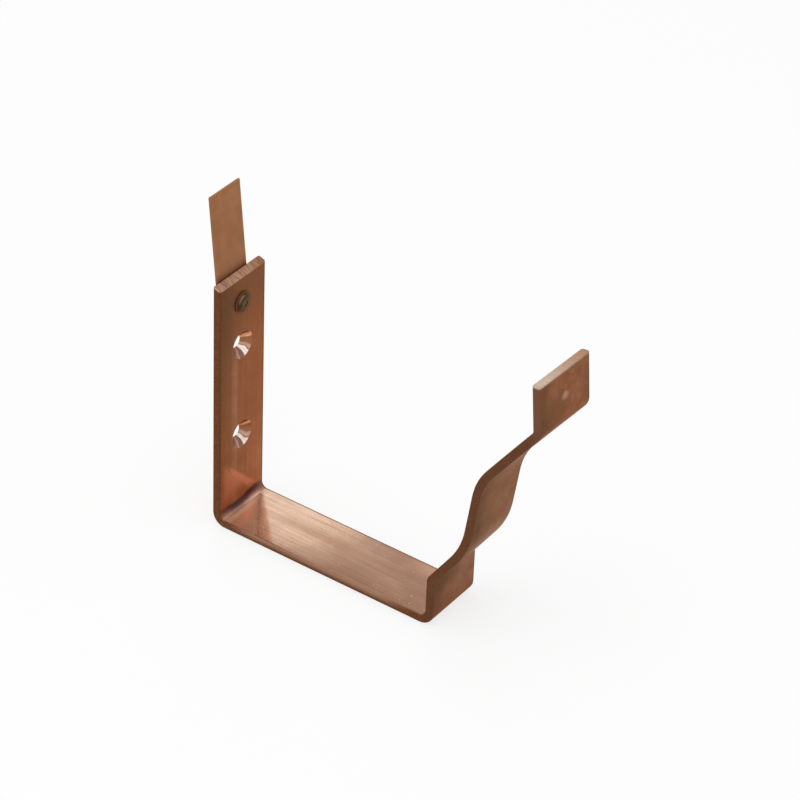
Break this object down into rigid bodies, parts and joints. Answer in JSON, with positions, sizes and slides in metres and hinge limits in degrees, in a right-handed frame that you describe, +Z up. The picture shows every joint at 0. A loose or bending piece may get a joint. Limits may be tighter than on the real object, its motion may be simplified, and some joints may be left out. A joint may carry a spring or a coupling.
{
  "type": "gutter bracket",
  "caption": "Copper bracket bent from one flat bar that wraps under an ogee gutter, with countersunk screw holes, a front tab and a thin riveted strap.",
  "frame": {"origin": "on the bar's back face, at the middle of the two screw holes", "axes": "+X out from the fascia to the gutter's front, +Y along the gutter, +Z up"},
  "size_m": [0.1391, 0.0254, 0.1335],
  "materials": {
    "copper_bar": "bare copper, mill brushed, lightly tarnished",
    "copper_strap": "bare sheet copper, dull",
    "rivet_bronze": "dark tarnished bronze",
    "mandrel_metal": "dull, greenish"
  },
  "bodies": {
    "root": {"bracket_bar": "copper_bar", "strap": "copper_strap", "rivet": "rivet_bronze", "rivet_mandrel": "mandrel_metal"}
  },
  "joints": []
}
